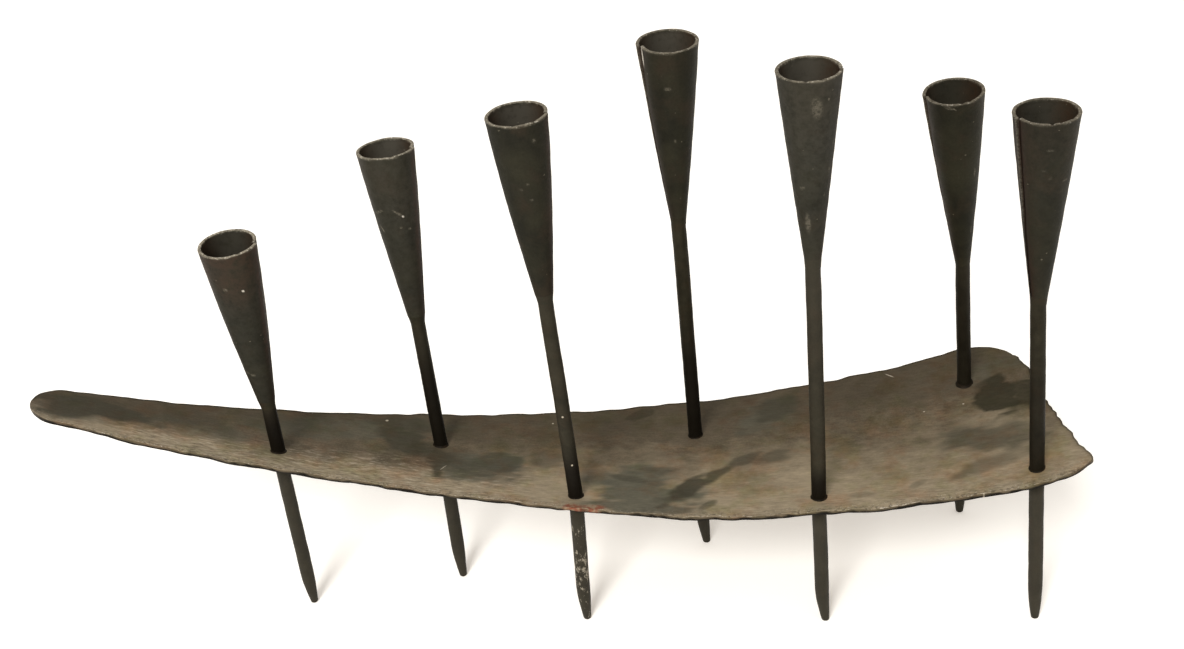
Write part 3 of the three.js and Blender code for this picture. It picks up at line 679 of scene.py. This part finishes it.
def ground_bar(k):
    """Rings along the foot, the hole, the bend and the upper end. The radius grows from the foot's
    by a quarter sine over the taper, both ends are rounded, the middle wavers, and blows and an
    unevenness are taken off. Returns the points, the number of rings and the masks."""
    knees = np.array([feet[k], hole_points[k], bends[k], bar_ends[k]])
    run = run_along(knees)
    full = run[-1]
    at = np.concatenate([ROUNDING, np.arange(FOOT_EDGE, full - FOOT_EDGE, RING_STEP),
                         full - np.append(ROUNDING, FOOT_EDGE)[::-1]])
    centres = np.stack([np.interp(at, run, knees[:, c]) for c in range(3)], axis=1)
    axes = np.gradient(centres, at, axis=0)
    upright = ease(1 - at / FOOT_TAPER)[:, None]
    axes = axes * (1 - upright) + np.array([0, 0, 1.0]) * upright
    swell = np.sin(np.pi / 2 * np.clip(at / FOOT_TAPER, 0, 1))
    centres[:, 0] += grinds[k] * (1 - swell)
    clear = WAVER * ease((at - 6) / 20) * ease((full - at) / 20)
    centres[:, 0] += clear * clouds(at, 0 * at, WAVER_PITCH, 50 + k)
    centres[:, 1] += clear * clouds(at, 0 * at + 7, WAVER_PITCH, 50 + k)
    ends = np.clip(np.minimum(at, full - at) / FOOT_EDGE, 0, 1)
    radius = FOOT_RADIUS + (BAR_RADIUS - FOOT_RADIUS) * swell
    radius -= FOOT_EDGE * (1 - np.sqrt(1 - (1 - ends) ** 2))
    radius -= SEAT_CUT * ease((at - run[2] - 3) / 2)
    angle = np.linspace(0, 2 * np.pi, SIDES, endpoint=False)
    round_x, round_y = BAR_RADIUS * np.cos(angle)[None], BAR_RADIUS * np.sin(angle)[None]
    length = at[:, None]
    uneven = (clouds(round_x, length * STRETCH, UNEVEN_SIZE, 60 + k)
              + clouds(round_y + 40, length * STRETCH, UNEVEN_SIZE, 70 + k))
    blows = dints(length, round_x + 1.3 * round_y, DINT_SIZE, 80 + k)
    depth = UNEVEN * uneven + DINT * (blows - 0.5)
    points = rings(centres, axes, radius[:, None] - depth * ends[:, None])
    above = (centres[:, 2] - hole_points[k, 2])[:, None] + 0 * round_x
    patches = 0.8 + 0.4 * clouds(length + 0 * round_x, 0 * round_x, 11, 190 + k)
    rubbed = FLAKED[k] * ease((-10 - above) / 10) * patches
    dark_to_plate = DARK_TO_PLATE[k] * ease((DARK_REACH[k] - above) / (0.6 * DARK_REACH[k])) * ease((above + 6) / 4)
    upper = ease(above / (bends[k, 2] - hole_points[k, 2]))
    worn = WORN_BELOW[k] + (WORN_ABOVE[k] - WORN_BELOW[k]) * upper
    worn = np.where(above > 0, worn, LEG_WORN * ease((-above - 4) / 12))
    return points, len(at), {"flaked": rubbed, "dark_to_plate": dark_to_plate, "worn": worn}


for k in range(len(LIGHTS)):
    points, count, masks = ground_bar(k)
    piece(f"bar_{k + 1}", points.reshape(-1, 3), tube_faces(count, SIDES), scaled_bar,
          f"stem_{k + 1}", {mask: values.ravel() for mask, values in masks.items()})


# WELDS
# Beads of weld metal close the gap between bar and plate, a thin one on the top face and a heavier
# one below, both uneven round the bar.

LOWER_WELD = 2.6
WELD_STEPS, WELD_SIDES = 9, 48
CLIMB, SPREAD, HOLLOW, SUNK, LAP = 1.6, 0.8, 1.3, 0.25, 0.1

# Burnt weld metal, the blackest of the finishes, with a coarse crust.
weld_crust, tree, mm, colour, shader = iron(
    "weld_crust", ("#120e08", "#201a11", "#281d12"), patch=5.0, grit=0.2, roughness=0.6,
    metallic=0.3)
link(tree, shader, {"Base Color": colour})


def wrapped_faces(count, sides):
    """Quads of a row of closed sections that itself closes, as on a ring."""
    k, j = np.mgrid[0:count, 0:sides]
    here, following, beside = k * sides, (k + 1) % count * sides, (j + 1) % sides
    quads = np.stack([here + j, following + j, following + beside, here + beside], axis=-1)
    return quads.reshape(-1, 4)


def weld_bead(k, lean, face, side, leg, seed):
    """A fillet round bar k: its hollow face sweeps from the bar, 1.6 legs above the plate, to the
    plate, 0.8 legs out, and a back of two points sunk in the plate closes it. It follows the
    plate's face and the bar's lean."""
    angle = np.linspace(0, 2 * np.pi, WELD_SIDES, endpoint=False)[:, None]
    t = np.linspace(0, 1, WELD_STEPS)[None]
    wave = 1 + 0.22 * clouds(4 * np.cos(angle), 4 * np.sin(angle), 2.3, seed)
    wave = wave + 0.1 * clouds(9 * np.cos(angle), 9 * np.sin(angle) + 30, 1.7, seed)
    out = np.hstack([SPREAD * leg * wave * t ** HOLLOW, leg * wave * SPREAD / 2, 0 * angle])
    up = np.hstack([CLIMB * leg * wave * (1 - t) ** HOLLOW, 0 * angle - SUNK, 0 * angle - SUNK])
    radius = BAR_RADIUS - LAP + out
    x = hole_points[k, 0] + radius * np.cos(angle)
    y = hole_points[k, 1] + radius * np.sin(angle)
    z = face(x, y) + side * up
    x = x + lean[0] * (z - hole_points[k, 2])
    y = y + lean[1] * (z - hole_points[k, 2])
    return np.stack([x, y, z], axis=-1).reshape(-1, 3)


shaft = bends - hole_points
shaft_lean = shaft[:, 0:2] / shaft[:, 2:3]
bead_faces = wrapped_faces(WELD_SIDES, WELD_STEPS + 2)
for k in range(len(LIGHTS)):
    upper = weld_bead(k, shaft_lean[k], plate_face, 1, weld_legs[k], 90 + k)
    lower = weld_bead(k, leg_lean[k], plate_underside, -1, LOWER_WELD, 100 + k)
    piece(f"upper_bead_{k + 1}", upper, bead_faces[:, ::-1].tolist(), weld_crust,
          f"upper_weld_{k + 1}", {})
    piece(f"lower_bead_{k + 1}", lower, bead_faces.tolist(), weld_crust,
          f"lower_weld_{k + 1}", {})


# CANDLE CUPS
# Slender cones rolled from sheet over a stake, 93 mm long, with an open seam down the side where
# one edge stands a little proud. The rims are filed and worn, the neck is dressed thin round the
# bar.

NECK_RADIUS, MOUTH_RADIUS = 4.25, 14.6
NECK_WALL, RIM_WALL, RIM_ROUND = 0.45, 1.7, 0.5
CUP_TURNS, CUP_RUNS, LIP_STEPS = 161, 100, 6
OVAL, ROLL, CUP_DINT, RIM_BITE, NICK_WIDTH = 0.11, 0.06, 0.13, 0.12, 4.5
SEAM_SPRING, REAR = 7, 95

# Cup sheet: olive black below and greyer towards the mouth, some cups more than others, grey
# inside, worn to tan metal along the rim with a painted highlight on its crown and white flecks
# painted as glints, reddish in the seam with the slit's edges painted black as shade, with scuffs
# and bare specks where the masks put them.
rolled_sheet, tree, mm, colour, shader = iron(
    "rolled_sheet", ("#18170f", "#262419", "#292218"), patch=22.0, grit=0.08, roughness=0.6,
    metallic=0.25)
WEAR_SIZE, FLECK_SIZE, SPECK_SIZE = 10 / 3, 20 / 19, 2
wear = add(tree, "TexNoise", {}, {"Vector": mm, "Scale": 1 / WEAR_SIZE, "Detail": 4.0,
                                  "Roughness": 0.7})
fleck = add(tree, "TexNoise", {}, {"Vector": mm, "Scale": 1 / FLECK_SIZE, "Detail": 3.0,
                                   "Roughness": 0.65})
# On the rim, the tan is worn metal with a painted highlight and the white flecks are painted
# glints; the black beside the seam's gap is painted shade.
for mask, tint, pattern, low, high, least in (
        ("grey", "#3d3b34", wear, 0.3, 0.6, 0.35), ("brown", "#3c2b20", wear, 0.35, 0.6, 0.2),
        ("inside", "#47433b", wear, 0.2, 0.5, 0.35), ("tan", "#3a2a1c", wear, 0.3, 0.6, 0.3),
        ("seam", "#2a1911", wear, 0.3, 0.6, 0.35), ("slit", "#0b0705", wear, 0.2, 0.4, 0.7),
        ("rim", "#8b8373", wear, 0.36, 0.56, 0.35), ("rim", "#cdc5b6", fleck, 0.56, 0.66, 0.0),
        ("scuff", "#6c6659", fleck, 0.38, 0.6, 0.15), ("bare", "#dfd7c9", fleck, 0.2, 0.4, 0.6)):
    colour = coat(tree, colour, tint, mask, pattern, low, high, least, 1)
specks = add(tree, "TexNoise", {}, {"Vector": mm, "Scale": 1 / SPECK_SIZE, "Detail": 1.0})
speck = add(tree, "MapRange", {}, {"Value": specks, "From Min": 0.77, "From Max": 0.8,
                                   "To Max": 0.35})
colour = add(tree, "Mix", BLEND, {SHARE: speck, UNDER: colour, OVER: hue("#7d7566")})
link(tree, shader, {"Base Color": colour})

# For each cup: how far its side swells and its neck is spread; how grey and how brown its outside
# is, how red beside the seam, how grey its inside, how worn and how bright with painted highlight
# its rim is and how strong its scuffs; at the seam's mouth the proud edge's extra lift, the other
# edge's tuck and how far down both reach; nicks in the rim (direction in degrees, depth); and
# scuffs and bare marks (direction, height, half width, half height, turn).
SWELLS = [0.9, 0.7, 0.95, 0.4, 0.1, 0.5, 0.2]
NECK_SPREADS = [0.35, 0.5, 0.35, 0.0, -0.15, 0.1, -0.1]
GREYS = [0.4, 0.5, 0.1, 0.07, 0.6, 0.0, 0.18]
BROWNS = [0.55, 0.1, 0.0, 0.1, 0.1, 0.15, 0.1]
BLUSHES = [0.9, 0.7, 0.4, 0.0, 0.0, 0.0, 0.0]
INSIDES = [0.45, 1.0, 0.9, 0.9, 0.8, 0.3, 0.4]
RIM_WEAR_AND_HIGHLIGHT = [1.05, 0.9, 0.8, 0.6, 0.7, 0.5, 0.55]
SCUFFED = [0.8, 1.0, 0.6, 0.7, 0.5, 0.6, 0.5]
SEAM_ENDS = [(0.2, 0.3, 0.3), (0.3, 0.5, 0.25), (0.1, 0.3, 0.2), (0.2, 0.8, 0.25),
             (0.1, 0.1, 0.3), (0.3, 0.3, 0.4), (0.2, 0.4, 0.9)]
NICKS = [[(300, 0.3)], [(285, 0.4)], [(305, 0.4), (262, 0.3)], [(275, 0.3)],
         [(282, 0.3), (255, 0.35)], [(272, 0.4), (290, 0.3)], [(262, 0.7), (280, 0.3), (310, 0.3)]]
SCUFFS = [
    [(292, 72, 0.7, 0.7, 0), (240, 20, 3, 0.4, -15), (255, 74, 1, 0.8, 0)],
    [(278, 62, 3.1, 0.45, -41), (227, 63, 3, 0.45, 22), (222, 53, 1.8, 0.45, -57),
     (279, 54, 0.6, 0.5, 0), (303, 52, 0.6, 0.5, 0)],
    [(297, 84, 0.8, 0.8, 0), (273, 63, 0.6, 0.5, 0), (277, 55, 0.9, 0.4, 0),
     (258, 60.5, 0.5, 0.4, 0)],
    [(259, 74, 1.8, 0.5, 0), (270, 45.5, 0.6, 0.5, 0), (282, 12, 0.4, 0.5, 0)],
    [(274, 80, 2.2, 4.8, 8), (234, 39.5, 1.4, 0.7, 20), (244, 21, 1.2, 4.4, 0),
     (324, 60, 0.6, 0.8, 0), (316, 47, 0.6, 1.2, 0), (304, 35, 0.5, 0.7, 0)],
    [(246, 91, 2.2, 0.6, -10), (306, 51.5, 0.6, 2.2, 0), (306, 17, 0.4, 2, 0)],
    [(261, 80, 1.4, 0.35, 0), (250, 70, 1.6, 0.3, 0), (264, 66, 1.6, 0.35, 0),
     (304, 63, 1.4, 0.4, 0), (261, 92.5, 1.2, 0.4, 0)],
]
# Cup 4's long mark at the seam's edge near the rim is bare metal, painted near white as its
# reflection of the bright room.
BARE = [[(292, 72, 0.42, 0.42, 0)], [(289, 60, 0.42, 0.42, 0)], [], [(197, 88, 0.8, 4.5, 0)],
        [], [], []]


def upright_to(axis):
    """Shortest turn that takes +Z to the axis: I + [v] + [v]^2 / (1 + c), where v and c are their
    cross and dot products."""
    v = np.cross([0, 0, 1.0], axis)
    skew = np.array([[0, -v[2], v[1]], [v[2], 0, -v[0]], [-v[1], v[0], 0]])
    return np.eye(3) + skew + skew @ skew / (1 + axis[2])


def degrees_from(angle, direction):
    """Turn from a direction in degrees to an angle in radians, from -180 to 180 degrees."""
    return (np.degrees(angle) - direction + 180) % 360 - 180


# The sheet's section, inside from neck to mouth, round lip and outside back to the neck: share of
# the height, share of the wall from the inside, and how near the lip's crown. It is carried by
# `turn` from one edge of the seam round to the other.
up = np.linspace(0, 1, CUP_RUNS) ** 0.8
over_lip = np.linspace(0, np.pi, LIP_STEPS + 2)[1:-1]
zeros, ones = np.zeros(CUP_RUNS), np.ones(CUP_RUNS)
rise = np.concatenate([up, np.ones(LIP_STEPS), up[::-1]])[None]
skin = np.concatenate([zeros, (1 - np.cos(over_lip)) / 2, ones])[None]
crown = np.concatenate([zeros, np.sin(over_lip) ** 0.7, zeros])[None]
turn = np.linspace(0, 1, CUP_TURNS)[:, None]


def rolled_cup(k):
    """A cone with a swelling side and a spread neck, its wall thickening towards the mouth. Taken
    from its radius are an oval, the roller's unevenness and blows; one edge of the seam stands
    proud, and at the mouth it lifts and the other tucks in. The rim is rounded, bitten and nicked.
    Returns the points, and the outside's radius, the angle and the height of each."""
    outside = NECK_RADIUS + (MOUTH_RADIUS - NECK_RADIUS) * rise + 4 * SWELLS[k] * rise * (1 - rise)
    outside = outside + NECK_SPREADS[k] * (1 - rise) ** 6
    radius = outside - (NECK_WALL + (RIM_WALL - NECK_WALL) * rise) * (1 - skin)
    half_slit = np.arcsin(slits[k] / 2 / radius)
    angle = math.radians(seam_turns[k]) + half_slit + turn * 2 * (np.pi - half_slit)
    x, y, height = np.cos(angle), np.sin(angle), rise * CUP_LENGTH
    roll = (clouds(outside * x, height + 60 * y, 13, 110 + k)
            + clouds(outside * y, height + 200, 17, 120 + k))
    blows = dints(height, outside * angle, 11, 130 + k)
    oval = 0.2 + np.cos(2 * (angle - 1.3 * k))
    radius = radius + prouds[k] * rise * (turn - 0.5)
    radius = radius - rise * (OVAL * oval + ROLL * roll) - CUP_DINT * blows * ease(rise * 4)
    lift, tuck, reach = SEAM_ENDS[k]
    opened = ease((rise - 1 + reach) / reach)
    around = 2 * np.pi * outside / SEAM_SPRING
    radius = radius + opened * (lift * np.exp((turn - 1) * around) - tuck * np.exp(-turn * around))
    bite = RIM_BITE * (1 + clouds(13 * x, 13 * y, 7, 140 + k))
    for direction, depth in NICKS[k]:
        bite = bite + depth * np.exp(-(degrees_from(angle, direction) / NICK_WIDTH) ** 2)
    height = height - RIM_ROUND * (1 - crown) * (rise >= 1) - bite * ease((rise - 0.965) / 0.035)
    return np.stack([radius * x, radius * y, height], axis=-1), outside, angle, height


def cup_wear(k, outside, angle, height):
    """Masks of one cup from 0 to 1: the frayed rim, worn pale with a painted highlight on its
    crown, the inside with its tan sides, the red seam with its slit's edges painted black as shade,
    the grey and the brown of the outside, red beside the seam, and scuffs and bare marks as turned
    ellipses, with one scuff along the proud edge."""
    x, y, whole = np.cos(angle), np.sin(angle), np.ones_like(angle)
    fray = 0.45 * clouds(13 * x, 13 * y + height, 4, 150 + k)
    # The rim is worn pale, with a painted highlight strongest on its crown.
    rim = RIM_WEAR_AND_HIGHLIGHT[k] * ease(1 - (CUP_LENGTH - height - 0.35 - fray) / 0.8) * (0.3 + 0.7 * crown)
    inside = INSIDES[k] * whole * (1 - skin) * ease((1 - rise) * 40)
    tan = 0.75 * (1 - skin) * ease((np.abs(degrees_from(angle, REAR)) - 15) / 60)
    to_proud = (1 - turn) * 2 * np.pi * outside
    to_seam = np.minimum(turn, 1 - turn) * 2 * np.pi * outside
    seam = np.exp(-to_seam / 1.9) * (0.4 + 0.6 * ease(1 - 2 * crown)) * whole
    # Painted shade: black on the sheet right beside the seam's gap.
    slit = np.exp(-(to_seam / 0.4) ** 2) * skin * whole
    grey = GREYS[k] * (0.65 + 0.35 * ease((rise - 0.3) / 0.4)) * whole
    patches = (clouds(outside * x, height + 50 * y, 19, 170 + k)
               + 0.6 * clouds(outside * y, height, 7, 180 + k))
    brown = BROWNS[k] * ease(0.5 + 0.5 * patches) * skin * ease((rise - 0.55) / 0.35)
    blush = BLUSHES[k] * np.exp(-((to_proud - 2.6) / 1.7) ** 2) * skin * ease((rise - 0.15) / 0.3)
    arris = np.exp(-(to_proud / 0.8) ** 2) * skin * ease((rise - 0.3) / 0.3)
    marks = {"scuff": 0.75 * arris, "bare": 0 * angle}
    for mask, places, most in (("scuff", SCUFFS[k], SCUFFED[k]), ("bare", BARE[k], 1)):
        for direction, at, wide, tall, tilt in places:
            across = np.radians(degrees_from(angle, direction)) * outside
            c, s = math.cos(math.radians(tilt)), math.sin(math.radians(tilt))
            p, q = across * c + (height - at) * s, (height - at) * c - across * s
            mark = most * ease(1.5 - np.hypot(p / wide, q / tall)) * skin
            marks[mask] = np.maximum(marks[mask], mark)
    return {"rim": rim, "inside": inside, "tan": tan, "seam": seam, "slit": slit, "grey": grey,
            "brown": np.maximum(brown, blush), **marks}


def rolled_faces():
    """Quads of the carried section, and at each edge of the seam a strip of quads across the sheet
    with the lip's half round at its end."""
    section = 2 * CUP_RUNS + LIP_STEPS
    k, j = np.mgrid[0:CUP_TURNS - 1, 0:section]
    here, following, beside = k * section, (k + 1) * section, (j + 1) % section
    quads = np.stack([here + j, here + beside, following + beside, following + j], axis=-1)
    inner = np.arange(CUP_RUNS - 1)
    outer = section - 1 - inner
    strip = np.stack([inner, outer, outer - 1, inner + 1], axis=1)
    last = (CUP_TURNS - 1) * section
    lip = list(range(CUP_RUNS - 1, CUP_RUNS + LIP_STEPS + 1))
    return (quads.reshape(-1, 4).tolist() + strip.tolist() + (strip[:, ::-1] + last).tolist()
            + [lip[::-1], [j + last for j in lip]])


cup_faces = rolled_faces()
for k in range(len(LIGHTS)):
    points, outside, angle, height = rolled_cup(k)
    masks = cup_wear(k, outside, angle, height)
    points = points @ upright_to(cup_axes[k]).T + necks[k]
    piece(f"rolled_cup_{k + 1}", points.reshape(-1, 3), cup_faces, rolled_sheet, f"cup_{k + 1}",
          {mask: values.ravel() for mask, values in masks.items()})


# NECK BRAZES
# A short cone of filler below each cup, drawn out thin on the bar so that the cup's neck runs into
# it without a step.

BRAZE_TOE, BRAZE_WAVE, TOE_WAVE = 0.05, 0.06, 0.35

# Filed brass filler under the same black as the cups, as worn as the top of its bar.
filed_filler, tree, mm, colour, shader = iron(
    "filed_filler", ("#1c1a11", "#2b281c", "#2b2318"), patch=14.0, grit=0.07, roughness=0.6,
    metallic=0.25)
amount = add(tree, "Attribute", {"attribute_name": "worn"}, {}).outputs["Fac"]
colour = add(tree, "Mix", BLEND, {SHARE: amount, UNDER: colour, OVER: hue(WORN_GREY)})
link(tree, shader, {"Base Color": colour})


def braze(k):
    """A ring whose outside flares from a thin toe on the bar to the cup's neck, both uneven, and
    whose back of two points lies inside the bar."""
    angle = np.linspace(0, 2 * np.pi, WELD_SIDES, endpoint=False)[:, None]
    t = np.linspace(0, 1, WELD_STEPS)[None]
    wave = clouds(4 * np.cos(angle), 4 * np.sin(angle), 2.1, 160 + k)
    toe, back = BAR_RADIUS + BRAZE_TOE, 0 * angle + BAR_RADIUS - LAP
    out = toe + (NECK_RADIUS + NECK_SPREADS[k] - toe) * t ** 1.2
    out = out + BRAZE_WAVE * wave * np.sin(np.pi * t)
    along = (TOE_WAVE * wave - GAP - BRAZE_LENGTH) * (1 - t)
    radius = np.hstack([out, back, back])
    along = np.hstack([along, along[:, -1:], along[:, :1]])
    return np.stack([radius * np.cos(angle), radius * np.sin(angle), along], axis=-1)


for k in range(len(LIGHTS)):
    points = (braze(k) @ upright_to(cup_axes[k]).T + necks[k]).reshape(-1, 3)
    piece(f"braze_{k + 1}", points, bead_faces.tolist(), filed_filler, f"neck_braze_{k + 1}",
          {"worn": np.full(len(points), WORN_ABOVE[k])})


# STUDIO
# White paper on the floor, which glows faintly warm where no lamp reaches it, a white room that is
# brightest overhead, one soft lamp high on the left in front, and the camera.

PAPER_HALF = 15
paper = bpy.data.materials.new("white_paper")
paper.use_nodes = True
tree = paper.node_tree
shader = tree.nodes["Principled BSDF"]
link(tree, shader, {"Base Color": hue("#f1f0ee"), "Roughness": 0.9, "Specular IOR Level": DULL})
ray = add(tree, "LightPath", {}, {})
seen = ray.outputs["Is Camera Ray"]
for kind in ("Is Glossy Ray", "Is Transmission Ray"):
    seen = add(tree, "Math", {"operation": "MAXIMUM"}, {0: seen, 1: ray.outputs[kind]})
place = add(tree, "TexCoord", {}, {}).outputs["Object"]
away = add(tree, "VectorMath", LENGTH, {0: place})
fading = add(tree, "MapRange", {"interpolation_type": "SMOOTHSTEP"},
             {"Value": away, "From Min": 0.5, "From Max": 2.0, "To Min": 0.31, "To Max": 1.0})
glowing = add(tree, "Math", TIMES, {0: seen, 1: fading})
glow = add(tree, "Emission", {}, {"Color": hue("#fff3e3"), "Strength": glowing})
both = add(tree, "AddShader", {}, {0: shader, 1: glow})
link(tree, tree.nodes["Material Output"], {"Surface": both})
floor_mesh = bpy.data.meshes.new("paper_floor")
floor_mesh.from_pydata([(PAPER_HALF * x, PAPER_HALF * y, 0)
                        for x, y in ((-1, -1), (1, -1), (1, 1), (-1, 1))], [], [(0, 1, 2, 3)])
floor_mesh.materials.append(paper)
floor = bpy.data.objects.new("paper_floor", floor_mesh)
bpy.context.scene.collection.objects.link(floor)

room = bpy.data.worlds.new("white_room")
bpy.context.scene.world = room
room.use_nodes = True
tree = room.node_tree
OVERHEAD = (0, -0.25, 0.97)
way = add(tree, "TexCoord", {}, {}).outputs["Generated"]
aloft = add(tree, "VectorMath", {"operation": "DOT_PRODUCT"}, {0: way, 1: OVERHEAD})
aloft = add(tree, "MapRange", {"interpolation_type": "SMOOTHSTEP"},
            {"Value": aloft, "From Min": -0.1, "From Max": 1.0, "To Min": 0.26, "To Max": 0.86})
link(tree, tree.nodes["Background"], {"Color": hue("#fffdfa"), "Strength": aloft})

lamp_data = bpy.data.lights.new("soft_lamp", "AREA")
lamp_data.shape = "DISK"
lamp_data.size = 1.3
lamp_data.energy = 136.0
lamp_data.color = hue("#fffdf9")[:3]
lamp = bpy.data.objects.new("soft_lamp", lamp_data)
bpy.context.scene.collection.objects.link(lamp)
lamp.location = (-1.0, -2.55, 2.8)
lamp.rotation_euler = (-lamp.location).to_track_quat("-Z", "Y").to_euler()

# The camera looks along `ahead`, down by the pitch, and is rolled about that line.
PITCH, ROLL_OVER = math.radians(32.592), math.radians(-6.784)
SENSOR, FOCAL_PIXELS, PHOTO_WIDTH = 36.0, 1584.47, 1184
STAND = (0.02954, -0.66017, 0.59988)
camera_data = bpy.data.cameras.new("camera")
camera_data.sensor_fit = "HORIZONTAL"
camera_data.sensor_width = SENSOR
camera_data.lens = SENSOR * FOCAL_PIXELS / PHOTO_WIDTH
camera_data.clip_start, camera_data.clip_end = 0.05, 30.0
camera = bpy.data.objects.new("camera", camera_data)
bpy.context.scene.collection.objects.link(camera)
right, ahead = np.array([1.0, 0, 0]), np.array([0, math.cos(PITCH), -math.sin(PITCH)])
above = np.array([0, math.sin(PITCH), math.cos(PITCH)])
sideways = math.cos(ROLL_OVER) * right + math.sin(ROLL_OVER) * above
upward = math.cos(ROLL_OVER) * above - math.sin(ROLL_OVER) * right
camera.matrix_world = Matrix(np.column_stack([sideways, upward, -ahead, STAND])).to_4x4()
bpy.context.scene.camera = camera
bpy.context.scene.view_settings.view_transform = "Standard"
